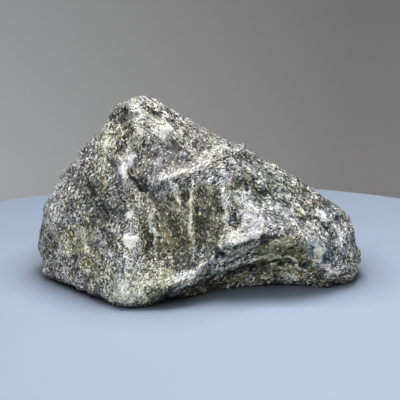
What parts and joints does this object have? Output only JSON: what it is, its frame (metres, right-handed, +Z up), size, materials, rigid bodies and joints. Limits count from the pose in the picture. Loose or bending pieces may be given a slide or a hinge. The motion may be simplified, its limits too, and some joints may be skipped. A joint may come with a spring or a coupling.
{
  "type": "raw labradorite stone",
  "caption": "Rough natural stone: a leaning peaked block with broken faces, a rounded low end and a hollow under it, that rests on a small flat spot.",
  "frame": {"origin": "on the surface that the stone rests on, under the middle of its box", "axes": "+Z up, +X towards the low rounded end along the stone's length, -Y towards the side that the picture shows"},
  "size_m": [0.16, 0.0962, 0.0883],
  "materials": {
    "stone": "rough broken stone, grey-green and olive with glittering pale flecks and streaks"
  },
  "bodies": {
    "root": {"stone": "stone"}
  },
  "joints": []
}
